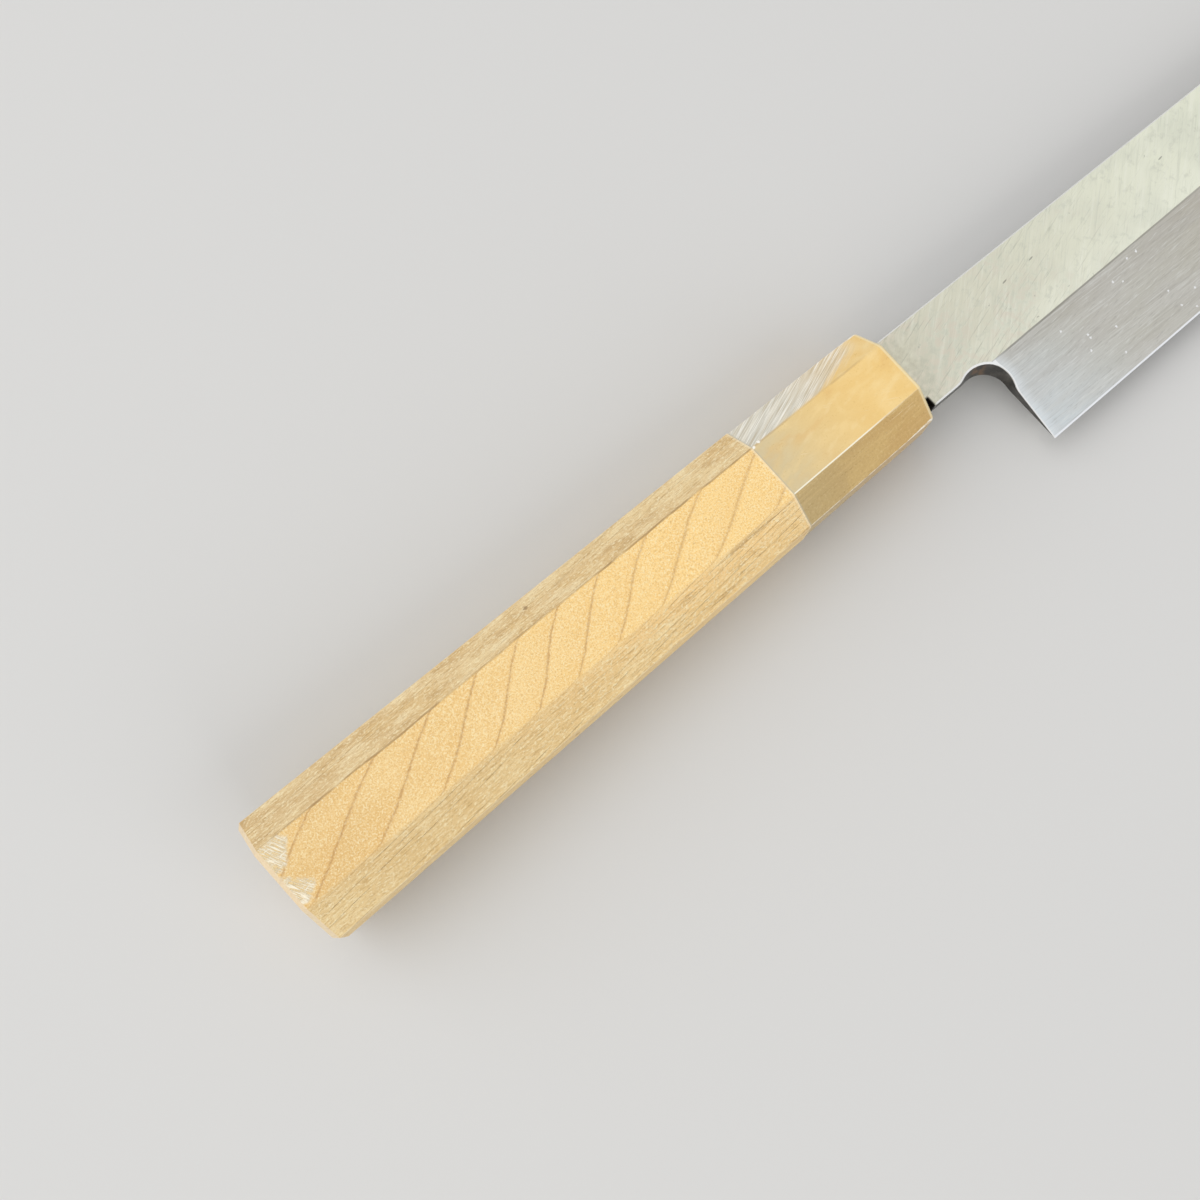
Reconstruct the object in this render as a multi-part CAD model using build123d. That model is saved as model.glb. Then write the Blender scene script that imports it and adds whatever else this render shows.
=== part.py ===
from build123d import *

import os
from math import acos, atan, cos, pi, radians, sin, sqrt, tan

# Yanagiba: a long slicing knife ground on one side only, for the right hand.
# Lengths are in millimetres. While the pieces are drawn, X runs along the handle's axis to the tip,
# Y points to the spine and Z out of the bevelled side. Zero is the middle of the ferrule's front face.

# Handle: eight facets, tapering from the butt to the front. The butt is sawn a little askew.
facet_count = 8
handle_length = 141.9
ferrule_length = 31.2
butt_height = 26.2
butt_thickness = 21.7
front_height = 21.6
front_thickness = 18.9
corner_share = 0.256
corner_lean_share = 0.915
butt_skew = 2.6
butt_chamfer = 0.9
arris_round = 0.35
joint_step = 0.2

# Front of the ferrule: its rim, and the run over which the arrises soften
front_rim_round = 0.8
front_corner_round = 1.8
front_soft_run = 7.0

# Tenon of the wood inside the horn, and the slot burnt into it for the tang
tenon_height = 17.4
tenon_thickness = 13.4
tenon_setback = 0.5
glue_gap = 0.08
slot_gap = 0.15

# Blade seen from the side
heel_x = 17.2
edge_run = 258.0
edge_below_axis = 27.7
spine_above_axis = 7.2
spine_droop = 0.8
bevel_width = 18.3
belly_radius = 360.0
belly_turn = 12.0
point_radius = 70.0
shinogi_radius = 460.0
point_run = 13.0

# Blade across its thickness
neck_thickness = 4.25
point_thickness = 1.9
flat_fall = 0.2
micro_bevel_width = 0.45
micro_bevel_height = 0.22

# Neck, and machi, the step of its underside in front of the ferrule
neck_above_shinogi = 0.5
machi_gap = 2.1
machi_step = 1.8
neck_chamfer = 0.3
machi_round_share = 1.1
spine_chamfer = 0.25

# Choil: a round cut that bites into neck and heel, more so at the top than at the back
choil_radius = 5.0
choil_bite = 0.15
choil_flare = 0.75
choil_blend = 6.0

# Hollow back: the grinding wheel's radius and the flat rims that it leaves
wheel_radius = 210.0
spine_land = 3.2
edge_land = 1.6
hollow_from_heel = 5.0
hollow_to_tip = 14.0
hollow_sections = 12
hollow_end_share = 0.3

# Tang
tang_length = 104.0
tang_end_height = 6.5
tang_end_thickness = 2.4
tang_end_above_axis = 0.6

# Lengths by which a cutter runs past what it cuts, and how close places are that count as the same
overrun = 2.0
back_overrun = 0.2
match = 0.01

back_z = -neck_thickness / 2
tip_x = heel_x + edge_run
droop = tan(radians(spine_droop))
droop_angle = atan(droop)


def spine_y(x):
    """Height of the spine above the handle's axis."""
    return spine_above_axis - droop * x


# The cutting edge is straight, then a wide arc for the belly, then a tighter arc to the tip on the spine
belly_angle = radians(belly_turn)
belly_center_y = belly_radius - edge_below_axis
point_center_y = belly_center_y - (belly_radius - point_radius) * cos(belly_angle)
tip_angle = acos((point_center_y - spine_y(tip_x)) / point_radius)
point_center_x = tip_x - point_radius * sin(tip_angle)
belly_center_x = point_center_x - (belly_radius - point_radius) * sin(belly_angle)
belly_end_x = belly_center_x + belly_radius * sin(belly_angle)

# The shinogi, the ridge between flat and bevel, is straight, then an arc that meets the spine near the tip
shinogi_y = bevel_width - edge_below_axis
neck_y = shinogi_y + neck_above_shinogi
meet_x = tip_x - point_run
shinogi_angle = acos(1 - (spine_y(meet_x) - shinogi_y) / shinogi_radius)
shinogi_center_x = meet_x - shinogi_radius * sin(shinogi_angle)

# Share of each last arc where the bevel's ruled stretches are divided
point_split_share = 0.75
shinogi_split_share = 0.75


def flat_z(x, y):
    """Level of the flat, which thins towards the tip and falls a little towards the spine."""
    along = (neck_thickness - point_thickness) * x / meet_x
    across = flat_fall * (y - shinogi_y) / (spine_above_axis - shinogi_y)
    return back_z + neck_thickness - along - across


def on_flat(x, y):
    """Point of the flat above a place in the blade's outline."""
    return Vector(x, y, flat_z(x, y))


def arc_between(place, start, end):
    """Arc through the points that place gives for the start, the middle and the end angle."""
    return Edge.make_three_point_arc(place(start), place((start + end) / 2), place(end))


def edge_curves(inset, z):
    """The cutting edge's line and arcs, moved into the blade by inset, at the level z."""
    center_to_spine = (point_center_y - spine_y(point_center_x)) * cos(droop_angle)
    end_angle = acos(center_to_spine / (point_radius - inset)) - droop_angle
    split_angle = belly_angle + (end_angle - belly_angle) * point_split_share

    def belly(angle):
        reach = belly_radius - inset
        return Vector(belly_center_x + reach * sin(angle), belly_center_y - reach * cos(angle), z)

    def point(angle):
        reach = point_radius - inset
        return Vector(point_center_x + reach * sin(angle), point_center_y - reach * cos(angle), z)

    return [
        Edge.make_line(Vector(0, inset - edge_below_axis, z), belly(0)),
        arc_between(belly, 0, belly_angle),
        arc_between(point, belly_angle, split_angle),
        arc_between(point, split_angle, end_angle),
    ]


def ridge_curves(tip):
    """The bevel's upper border: along the shinogi to the spine, then down the spine to the tip."""

    def place(angle):
        x = shinogi_center_x + shinogi_radius * sin(angle)
        return on_flat(x, shinogi_y + shinogi_radius * (1 - cos(angle)))

    split_angle = shinogi_angle * shinogi_split_share
    return [
        Edge.make_line(on_flat(0, shinogi_y), place(0)),
        arc_between(place, 0, split_angle),
        arc_between(place, split_angle, shinogi_angle),
        Edge.make_line(place(shinogi_angle), tip),
    ]


def ground_blade():
    """The blade as it is ground: flat, bevel, micro-bevel, spine and back as one closed skin."""
    cutting_edge = edge_curves(0, back_z)
    micro_edge = edge_curves(micro_bevel_width, back_z + micro_bevel_height)
    ridge = ridge_curves(micro_edge[-1] @ 1)
    spine_back = Vector(0, spine_y(0), back_z)
    spine_top = on_flat(0, spine_y(0))
    meet = ridge[-1] @ 0
    tip = cutting_edge[-1] @ 1

    ground = [Face.make_surface_from_curves(low, high) for low, high in zip(cutting_edge, micro_edge)]
    ground += [Face.make_surface_from_curves(low, high) for low, high in zip(micro_edge, ridge)]
    heel = cutting_edge[0] @ 0
    back = Wire(cutting_edge + [Edge.make_line(tip, spine_back), Edge.make_line(spine_back, heel)])
    flat = Wire(ridge[:-1] + [Edge.make_line(meet, spine_top), Edge.make_line(spine_top, ridge[0] @ 0)])
    spine = Wire.make_polygon([spine_back, tip, micro_edge[-1] @ 1, meet, spine_top])
    rear = Wire.make_polygon([spine_back, heel, micro_edge[0] @ 0, ridge[0] @ 0, spine_top])
    walls = [Face(wire) for wire in (back, flat, spine, rear)]
    return Solid(Shell(ground + walls))


def rounded_at(face, x, y, radius):
    """The face with its corner at that place rounded."""
    corner = face.vertices().sort_by_distance((x, y, 0))[0]
    return fillet(corner, radius)


def neck_outline(level):
    """Outline, at a level above the back, of the space below the neck and behind the heel."""
    low = -edge_below_axis - overrun
    machi_y = neck_y + machi_step
    inset = choil_radius - choil_bite
    reach = choil_radius + choil_flare * level / neck_thickness
    run_out = inset + sqrt(reach**2 - inset**2)
    step = [(-overrun, low), (-overrun, machi_y), (machi_gap, machi_y), (machi_gap, neck_y)]
    corner = [(heel_x - inset, neck_y), (heel_x, neck_y - inset)]
    outline = Polyline(*step, *corner, (heel_x, low), close=True)
    face = make_face(outline) + Pos(heel_x - inset, neck_y - inset) * Circle(reach)
    face = rounded_at(face, heel_x, neck_y - run_out, choil_blend)
    face = rounded_at(face, heel_x - run_out, neck_y, choil_blend)
    face = rounded_at(face, machi_gap, neck_y, neck_chamfer * machi_round_share)
    return Pos(Z=back_z + level) * face.face().outer_wire()


def neck_space():
    """Cutter below the neck and behind the heel, with the choil that flares from the back to the top."""
    bottom = neck_outline(-back_overrun)
    top = neck_outline(neck_thickness + overrun)
    return Solid.make_loft([bottom, top], ruled=True)


def four_sided(x, low, high, back, front_low, front_high):
    """Section at x with an upright spine side and edge side, and a front that may slope."""
    rim = [(low, back), (high, back), (high, front_high), (low, front_low)]
    return Wire.make_polygon([Vector(x, y, z) for y, z in rim])


def tang(grow):
    """The tapered tang from the machi to its end inside the wood, or with grow the slot that holds it."""
    low = neck_y + machi_step - grow
    high = spine_y(machi_gap) + grow
    front_low = flat_z(machi_gap, low) + grow
    front_high = flat_z(machi_gap, high) + grow
    machi = four_sided(machi_gap, low, high, back_z - grow, front_low, front_high)

    half_height = tang_end_height / 2 + grow
    half_thickness = tang_end_thickness / 2 + grow
    end_low = tang_end_above_axis - half_height
    end_high = tang_end_above_axis + half_height
    end_x = -tang_length - grow
    end = four_sided(end_x, end_low, end_high, -half_thickness, half_thickness, half_thickness)
    return Solid.make_loft([machi, end], ruled=True)


def edge_y(x):
    """Height of the cutting edge above the handle's axis."""
    if x <= belly_center_x:
        return -edge_below_axis
    if x <= belly_end_x:
        return belly_center_y - sqrt(belly_radius**2 - (x - belly_center_x) ** 2)
    return point_center_y - sqrt(point_radius**2 - (x - point_center_x) ** 2)


def hollow_section(x, width_share):
    """Slice of the hollow: the wheel's arc over a chord on the back, with room below it."""
    low = edge_y(x) + edge_land
    high = spine_y(x) - spine_land
    middle = (low + high) / 2
    half = width_share * (high - low) / 2
    depth = wheel_radius - sqrt(wheel_radius**2 - half**2)
    start = Vector(x, middle - half, back_z)
    end = Vector(x, middle + half, back_z)
    down = Vector(0, 0, -overrun)
    arc = Edge.make_three_point_arc(start, Vector(x, middle, back_z + depth), end)
    return Wire(
        [
            arc,
            Edge.make_line(end, end + down),
            Edge.make_line(end + down, start + down),
            Edge.make_line(start + down, start),
        ]
    )


def hollow():
    """Cutter for the hollow back, which runs out in a round end at the heel and at the tip."""
    start = heel_x + hollow_from_heel
    length = tip_x - hollow_to_tip - start
    sections = []
    for index in range(hollow_sections + 1):
        share = (1 - cos(pi * index / hollow_sections)) / 2
        nearest_end_share = 2 * abs(share - 1 / 2)
        fullness = sqrt(1 - nearest_end_share**hollow_sections)
        width_share = hollow_end_share + (1 - hollow_end_share) * fullness
        sections.append(hollow_section(start + length * share, width_share))
    return Solid.make_loft(sections)


def lies_on_flat(edge):
    """Whether the edge lies in the flat of the bevelled side."""
    middle = edge.center()
    return abs(middle.Z - flat_z(middle.X, middle.Y)) < match


def neck_rim(steel):
    """The edges of the flat along the neck and the choil, as far as the shinogi."""
    low = neck_y - choil_radius
    high = neck_y + machi_step
    start = machi_gap + match
    return [
        edge
        for edge in steel.edges()
        if lies_on_flat(edge) and low < edge.center().Y < high and start < edge.center().X < heel_x
    ]


def spine_rim(steel):
    """The edge of the flat along the spine."""
    return [
        edge
        for edge in steel.edges()
        if lies_on_flat(edge) and abs(edge.center().Y - spine_y(edge.center().X)) < match
    ]


def blade():
    """Blade, neck and tang, one piece of steel."""
    steel = ground_blade() - neck_space()
    steel = chamfer(neck_rim(steel), neck_chamfer)
    steel = chamfer(spine_rim(steel), spine_chamfer)
    return steel + tang(0) - hollow()


def facet_corners(x, proud):
    """The eight corners of the handle's section at x. The wood's taper aims proud of the horn's front."""
    share = (x + handle_length) / handle_length
    half_height = (butt_height + (front_height + 2 * proud - butt_height) * share) / 2
    half_thickness = (butt_thickness + (front_thickness + 2 * proud - butt_thickness) * share) / 2
    corner_height = 2 * half_height * corner_share
    corner_thickness = corner_height * corner_lean_share
    spine_side = [
        (half_height, half_thickness - corner_thickness),
        (half_height - corner_height, half_thickness),
    ]
    upper = spine_side + [(-y, z) for y, z in reversed(spine_side)]
    lower = [(-y, -z) for y, z in upper]
    return [Vector(x, y, z) for y, z in upper + lower]


def facet_body(start, end, proud):
    """Tapering body with plane facets between two places on the handle's axis."""
    rear = facet_corners(start, proud)
    front = facet_corners(end, proud)
    walls = [rear, front]
    for index in range(len(rear)):
        walls.append([rear[index - 1], rear[index], front[index], front[index - 1]])
    return Solid(Shell([Face(Wire.make_polygon(corners)) for corners in walls]))


def soft_arrises(body):
    """The body with its long edges, the arrises between the facets, rounded."""
    arrises = body.edges().sort_by(SortBy.LENGTH)[-facet_count:]
    return fillet(arrises, arris_round)


def oval_prism(start, end, grow):
    """Round-ended oval prism along the axis: the tenon, or with grow the bore that takes it."""
    face = SlotOverall(tenon_height + 2 * grow, tenon_thickness + 2 * grow)
    across = Plane(origin=(start, 0, 0), x_dir=(0, 1, 0), z_dir=(1, 0, 0))
    return extrude(across * face, end - start)


def handle():
    """Wooden handle with its tenon and the slot burnt for the tang."""
    skew = tan(radians(butt_skew))
    butt_plane = Plane(origin=(-handle_length, butt_height / 2, 0), z_dir=(1, skew, 0))
    plain = split(facet_body(-handle_length - overrun, -ferrule_length, joint_step), butt_plane)
    butt = chamfer(plain.faces().sort_by(Axis.X)[0].edges(), butt_chamfer)
    tenon = oval_prism(-ferrule_length, -tenon_setback, 0)
    return (butt & soft_arrises(plain)) + tenon - tang(slot_gap)


def rounded_section(x, radius):
    """The handle's section at x with round corners."""
    outline = Wire.make_polygon(facet_corners(x, 0))
    return outline.fillet_2d(radius, outline.vertices())


def ferrule():
    """Horn ring with an oval bore. Its arrises fade towards the front, where the rim is round."""
    rear = rounded_section(-ferrule_length, arris_round)
    waist = rounded_section(-front_soft_run, arris_round)
    front = rounded_section(0, front_corner_round)
    ring = Solid.make_loft([rear, waist, front], ruled=True)
    ring = fillet(ring.faces().sort_by(Axis.X)[-1].edges(), front_rim_round)
    return ring - oval_prism(-ferrule_length - overrun, overrun, glue_gap)


# The finished knife lies with its bevelled side up. Its frame starts at the middle of its outline,
# level with the lowest facet of the handle.
middle_x = (tip_x - handle_length) / 2
middle_y = (butt_height / 2 - edge_below_axis) / 2
to_rest = Pos(-middle_x, -middle_y, butt_thickness / 2)

os.makedirs("parts", exist_ok=True)
export_step(to_rest * blade(), "parts/blade.step")
export_step(to_rest * ferrule(), "parts/ferrule.step")
export_step(to_rest * handle(), "parts/handle.step")
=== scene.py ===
from math import acos, cos, radians, sin, tan

import bpy
from mathutils import Matrix, Vector


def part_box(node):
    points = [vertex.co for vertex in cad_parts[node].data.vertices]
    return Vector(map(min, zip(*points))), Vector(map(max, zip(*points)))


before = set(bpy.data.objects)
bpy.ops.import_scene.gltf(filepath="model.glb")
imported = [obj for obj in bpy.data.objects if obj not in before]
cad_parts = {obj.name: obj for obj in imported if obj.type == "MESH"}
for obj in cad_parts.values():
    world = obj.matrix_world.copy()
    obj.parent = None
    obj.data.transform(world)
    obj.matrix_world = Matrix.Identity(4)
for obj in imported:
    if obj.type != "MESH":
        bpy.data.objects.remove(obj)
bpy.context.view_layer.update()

# The materials are laid out in millimetres: X along the handle's axis to the tip, zero at the ferrule's
# front, Y to the spine, Z out of the bevelled side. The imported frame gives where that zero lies.
MM = 1000.0
blade_low, blade_high = (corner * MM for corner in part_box("blade"))
ferrule_low, ferrule_high = (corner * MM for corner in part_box("ferrule"))
handle_low, handle_high = (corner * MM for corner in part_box("handle"))
ORIGIN = -Vector((ferrule_high.x, (handle_low.y + handle_high.y) / 2, (handle_low.z + handle_high.z) / 2))
BUTT = handle_low.x + ORIGIN.x
FERRULE_BACK = ferrule_low.x + ORIGIN.x
TIP = blade_high.x + ORIGIN.x
EDGE = blade_low.y + ORIGIN.y
BACK_LEVEL = blade_low.z + ORIGIN.z

# Handle: the wood's half heights and half thicknesses at the butt and, where its taper aims, at the ferrule's
# front, the share of the half height that the facets facing up and down take, and how far the horn's front
# stands back from that taper
BUTT_HALF_HEIGHT = 13.1
FRONT_HALF_HEIGHT = 11.0
BUTT_HALF_THICKNESS = 10.85
FRONT_HALF_THICKNESS = 9.65
FACET_SHARE = 0.488
HORN_STEP = 0.2

# Blade: the bevel's width and its top at the heel, the micro-bevel, how the bevel falls between them, the
# spine, and the shinogi's arc, which meets the spine behind the tip
BEVEL_WIDTH = 18.3
BEVEL_TOP = 4.1
MICRO_BEVEL_HEIGHT = 0.22
MICRO_BEVEL_WIDTH = 0.45
BEVEL_FALL = (BEVEL_TOP - MICRO_BEVEL_HEIGHT) / (BEVEL_WIDTH - MICRO_BEVEL_WIDTH)
SPINE_Y = 7.2
SPINE_DROOP = tan(radians(0.8))
POINT_RUN = 13.0
MEET_X = TIP - POINT_RUN
SHINOGI_Y = EDGE + BEVEL_WIDTH
SHINOGI_RADIUS = 460.0
SHINOGI_TURN = acos(1 - (SPINE_Y - SPINE_DROOP * MEET_X - SHINOGI_Y) / SHINOGI_RADIUS)
SHINOGI_CENTER_X = MEET_X - SHINOGI_RADIUS * sin(SHINOGI_TURN)

# Choil: the heel's line, the round cut's middle, its radius at the back, and how much that grows with height
HEEL_X = 17.2
CHOIL_X, CHOIL_Y = 12.35, -13.75
CHOIL_RADIUS = 5.0
CHOIL_FLARE = 0.176

# Growth sheets of the wood: their distance, how they lean across the handle, and their slow wave
GROWTH_STEP = 10.93
GROWTH_START = -137.8
GROWTH_LEAN = 1.6
GROWTH_LEAN_CORNER = 6.5
GROWTH_LEAN_SIDE = 5.0
GROWTH_WAVE = 3.1
GROWTH_WAVE_TURN = 0.0731
GROWTH_WAVE_START = 3.2

# Directions of rubbed and scratched marks, turned from the handle's axis to the spine
FLAT_SLANT = radians(39)
FLAT_CROSS_SLANT = radians(16)
SCAR_SLANT = radians(8)
SMALL_SCAR_SLANT = radians(35)
BEVEL_SCRATCH_SLANT = radians(-3)
BEVEL_SHORT_SLANT = radians(5)
WHEEL_SLANT = radians(-12)
HORN_CLOUD_SLANT = radians(12)
HORN_SCRATCH_SLANT = radians(-28)
FROST_FINE_SLANT = radians(21)
FROST_COARSE_SLANT = radians(24)
HATCH_SLANT = radians(-62)
CROSS_HATCH_SLANT = radians(8)

# Chosen places (x, y): nicks on the bevel, scars on the flat, rust in the choil, specks on the horn, the
# wood's knot, and the outlines of the worn patches at the butt
NICKS = [
    (35.2, -17.1), (35.2, -17.8), (40.7, -19.4), (33.7, -19.8), (31.2, -13.4), (39.1, -24.2), (45.7, -12.6),
    (47.4, -13.8), (53.4, -11.0), (51.0, -10.9), (53.6, -20.6), (58.4, -23.4), (54.0, -24.3), (56.4, -26.3),
]
SCARS = [(29.6, 0.6), (36.7, 0.8), (70.6, -0.3)]
RUST_X = 14.2
HORN_SPECKS = [(-30.8, 5.5), (-29.4, 5.8)]
KNOT = (-80.1, 9.9)
PATCH_SPINE = [(-140.9, 6.6), (-136.6, 6.4), (-135.4, 5.0), (-138.4, 1.3), (-140.6, 1.0)]
PATCH_EDGE = [(-140.7, 0.6), (-135.9, -3.4), (-138.8, -5.8), (-140.7, -5.3)]

# Depth in millimetres that a material's height from 0 to 1 stands for
STEEL_DEPTH = 0.008
HORN_DEPTH = 0.014
WOOD_DEPTH = 0.15

# Table, in metres: its normal, the blade's place that touches it near the tip, the gap left there, and half
# its width
FLOOR_UP = Vector((-0.02734, 0.03053, 0.99916)).normalized()
FLOOR_CONTACT = Vector((0.20042, 0.00253, 0.00872))
FLOOR_GAP = 0.0002
FLOOR_REACH = 3.0

# Light: what the lamps face, in metres, and the surroundings' colour and strength, as a light and as seen
LAMP_TARGET = Vector((-0.07, 0.0, 0.01))
WORLD_COLOR = (0.96, 0.97, 1.0, 1.0)
WORLD_LIGHT = 0.5
WORLD_SEEN = 0.88

# Camera of the photograph: its axes, its place in the drawing's millimetres, its film width and lens
CAMERA_RIGHT = Vector((0.761, -0.64852, 0.01714))
CAMERA_DOWN = Vector((-0.63297, -0.74803, -0.19948))
CAMERA_AHEAD = Vector((0.14219, 0.14096, -0.97975))
CAMERA_PLACE = Vector((-104.03, -32.07, 247.18))
FILM_WIDTH = 36.0
LENS = 42.0

# A noise seldom leaves the middle part of its range. Times this, that part is as wide as one.
NOISE_SPREAD = 3.2


def linear(red, green, blue):
    """Colour for a shader from the screen's values between 0 and 255."""

    def channel(value):
        value /= 255
        return value / 12.92 if value <= 0.04045 else ((value + 0.055) / 1.055) ** 2.4

    return (channel(red), channel(green), channel(blue), 1.0)


class Graph:
    """A material's nodes, with places given in the drawing's millimetres."""

    def __init__(self, name):
        self.material = bpy.data.materials.new(name)
        self.material.use_nodes = True
        self.tree = self.material.node_tree
        self.tree.nodes.clear()
        self.output = self.add("ShaderNodeOutputMaterial")
        coordinates = self.add("ShaderNodeTexCoord").outputs["Object"]
        scaled = self.vector("SCALE", coordinates, scale=MM)
        self.place = self.vector("ADD", scaled, ORIGIN)
        split = self.add("ShaderNodeSeparateXYZ", Vector=self.place)
        self.x, self.y, self.z = split.outputs
        facing = self.add("ShaderNodeNewGeometry").outputs["Normal"]
        self.nx, self.ny, self.nz = self.add("ShaderNodeSeparateXYZ", Vector=facing).outputs

    def add(self, kind, settings=None, **inputs):
        """A new node with these settings and inputs."""
        node = self.tree.nodes.new(kind)
        for key, value in (settings or {}).items():
            setattr(node, key, value)
        for key, value in inputs.items():
            self.feed(node.inputs[key.replace("_", " ")], value)
        return node

    def feed(self, socket, value):
        """Links the socket to another one, or sets it to a value."""
        if isinstance(value, bpy.types.NodeSocket):
            self.tree.links.new(value, socket)
        elif value is not None:
            socket.default_value = value

    def math(self, operation, *values):
        node = self.add("ShaderNodeMath", {"operation": operation})
        for socket, value in zip(node.inputs, values):
            self.feed(socket, value)
        return node.outputs[0]

    def vector(self, operation, a, b=None, scale=None):
        node = self.add("ShaderNodeVectorMath", {"operation": operation})
        self.feed(node.inputs[0], a)
        self.feed(node.inputs[1], b)
        if scale is not None:
            self.feed(node.inputs["Scale"], scale)
        return node.outputs["Vector"]

    def add_up(self, *values):
        total = values[0]
        for value in values[1:]:
            total = self.math("ADD", total, value)
        return total

    def times(self, *values):
        product = values[0]
        for value in values[1:]:
            product = self.math("MULTIPLY", product, value)
        return product

    def less(self, a, b):
        """The difference a - b."""
        return self.math("SUBTRACT", a, b)

    def length(self, a, b):
        """Length of the diagonal of a and b."""
        return self.math("SQRT", self.add_up(self.times(a, a), self.times(b, b)))

    def line(self, value, start, slope):
        """Number on a straight line: start + slope * value."""
        return self.math("MULTIPLY_ADD", value, slope, start)

    def step(self, value, low, high, start=0.0, end=1.0):
        """Smooth step from start to end as value goes from low to high."""
        node = self.add("ShaderNodeMapRange", {"interpolation_type": "SMOOTHSTEP"}, Value=value)
        for key, number in (("From Min", low), ("From Max", high), ("To Min", start), ("To Max", end)):
            self.feed(node.inputs[key], number)
        return node.outputs[0]

    def hump(self, value, middle, half, soft):
        """One inside half of the middle, fading to zero over soft on both sides."""
        away = self.math("ABSOLUTE", self.less(value, middle))
        return self.step(away, half + soft, half)

    def stretched(self, along, across, up=None, turn=0.0):
        """The place with its axes scaled, after a turn about Z, for streaks."""
        node = self.add("ShaderNodeMapping", {"vector_type": "TEXTURE"}, Vector=self.place)
        node.inputs["Rotation"].default_value = (0.0, 0.0, turn)
        node.inputs["Scale"].default_value = (along, across, across if up is None else up)
        return node.outputs[0]

    def noise(self, vector, scale=1.0, detail=2.0, roughness=0.5, distortion=0.0):
        return self.add(
            "ShaderNodeTexNoise",
            {"noise_dimensions": "3D"},
            Vector=vector,
            Scale=scale,
            Detail=detail,
            Roughness=roughness,
            Distortion=distortion,
        ).outputs["Fac"]

    def sway(self, along, across, reach):
        """Slow random offset between -reach and reach, for edges that wander."""
        value = self.noise(self.stretched(along, across))
        return self.line(value, -NOISE_SPREAD * reach / 2, NOISE_SPREAD * reach)

    def shaken(self, reach, scale=2.5):
        """The place with a random offset, for spots with ragged outlines."""
        node = self.add("ShaderNodeTexNoise", Vector=self.place, Scale=scale)
        offset = self.vector("SUBTRACT", node.outputs["Color"], (0.5, 0.5, 0.5))
        return self.vector("ADD", self.place, self.vector("SCALE", offset, scale=2 * reach))

    def dots(self, vector, scale, radius, soft, share):
        """Small spots in that share of the cells."""
        node = self.add("ShaderNodeTexVoronoi", Vector=vector, Scale=scale)
        near = self.step(node.outputs["Distance"], radius + soft, radius)
        chance = self.add("ShaderNodeSeparateColor", Color=node.outputs["Color"]).outputs[0]
        return self.times(near, self.math("LESS_THAN", chance, share))

    def spots(self, places, radius, vector):
        """Round spots at chosen places (x, y), seen along Z."""
        flat = self.vector("MULTIPLY", vector, (1.0, 1.0, 0.0))
        total = 0.0
        for x, y in places:
            node = self.add("ShaderNodeVectorMath", {"operation": "DISTANCE"})
            self.feed(node.inputs[0], flat)
            self.feed(node.inputs[1], (x, y, 0.0))
            total = self.math("MAXIMUM", total, self.step(node.outputs["Value"], radius, radius / 2))
        return total

    def strokes(self, places, reach, half_width, turn):
        """Short thin strokes at chosen places (x, y), seen along Z."""
        total = 0.0
        for x, y in places:
            dx = self.less(self.x, x)
            dy = self.less(self.y, y)
            along = self.add_up(self.times(dx, cos(turn) / reach), self.times(dy, sin(turn) / reach))
            across = self.less(self.times(dy, cos(turn) / half_width), self.times(dx, sin(turn) / half_width))
            away = self.add_up(self.times(along, along), self.times(across, across))
            total = self.math("MAXIMUM", total, self.step(away, 1.0, 0.3))
        return total

    def inside(self, outline, soft, sway):
        """One inside a convex outline of places (x, y) that runs clockwise, seen along Z."""
        total = 1.0
        for (x0, y0), (x1, y1) in zip(outline, outline[1:] + outline[:1]):
            length = ((x1 - x0) ** 2 + (y1 - y0) ** 2) ** 0.5
            across = ((y1 - y0) / length, (x0 - x1) / length)
            level = self.add_up(self.times(self.x, across[0]), self.times(self.y, across[1]))
            depth = self.less(level, across[0] * x0 + across[1] * y0)
            total = self.times(total, self.step(self.add_up(depth, sway), -soft, soft))
        return total

    def mix(self, share, a, b):
        """Colour between a and b."""
        node = self.add("ShaderNodeMix", {"data_type": "RGBA", "clamp_factor": True})
        self.feed(node.inputs[0], share)
        self.feed(node.inputs[6], a)
        self.feed(node.inputs[7], b)
        return node.outputs[2]

    def tint(self, color, value, low, high, share, other):
        """The colour, with up to that share of the other where the value has gone from low to high."""
        return self.mix(self.step(value, low, high, 0.0, share), color, other)

    def blend(self, share, a, b):
        """Number between a and b."""
        node = self.add("ShaderNodeMix", {"data_type": "FLOAT", "clamp_factor": True})
        self.feed(node.inputs[0], share)
        self.feed(node.inputs[2], a)
        self.feed(node.inputs[3], b)
        return node.outputs[0]

    def finish(self, color, roughness, height, depth, **constants):
        """The material, with a bump from a height whose 1 stands for the depth in millimetres."""
        bump = self.add("ShaderNodeBump", Height=height, Distance=depth / MM)
        shader = self.add("ShaderNodeBsdfPrincipled", Roughness=roughness, Normal=bump.outputs[0])
        self.feed(shader.inputs["Base Color"], color)
        for key, value in constants.items():
            shader.inputs[key.replace("_", " ")].default_value = value
        self.feed(self.output.inputs["Surface"], shader.outputs[0])
        return self.material


def below_shinogi(g):
    """Millimetres from the shinogi towards the cutting edge."""
    straight = g.less(SHINOGI_Y, g.y)
    from_center = g.less(g.x, SHINOGI_CENTER_X)
    up = g.less(g.y, SHINOGI_Y + SHINOGI_RADIUS)
    curved = g.less(g.length(from_center, up), SHINOGI_RADIUS)
    return g.blend(g.math("GREATER_THAN", g.x, SHINOGI_CENTER_X), straight, curved)


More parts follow.
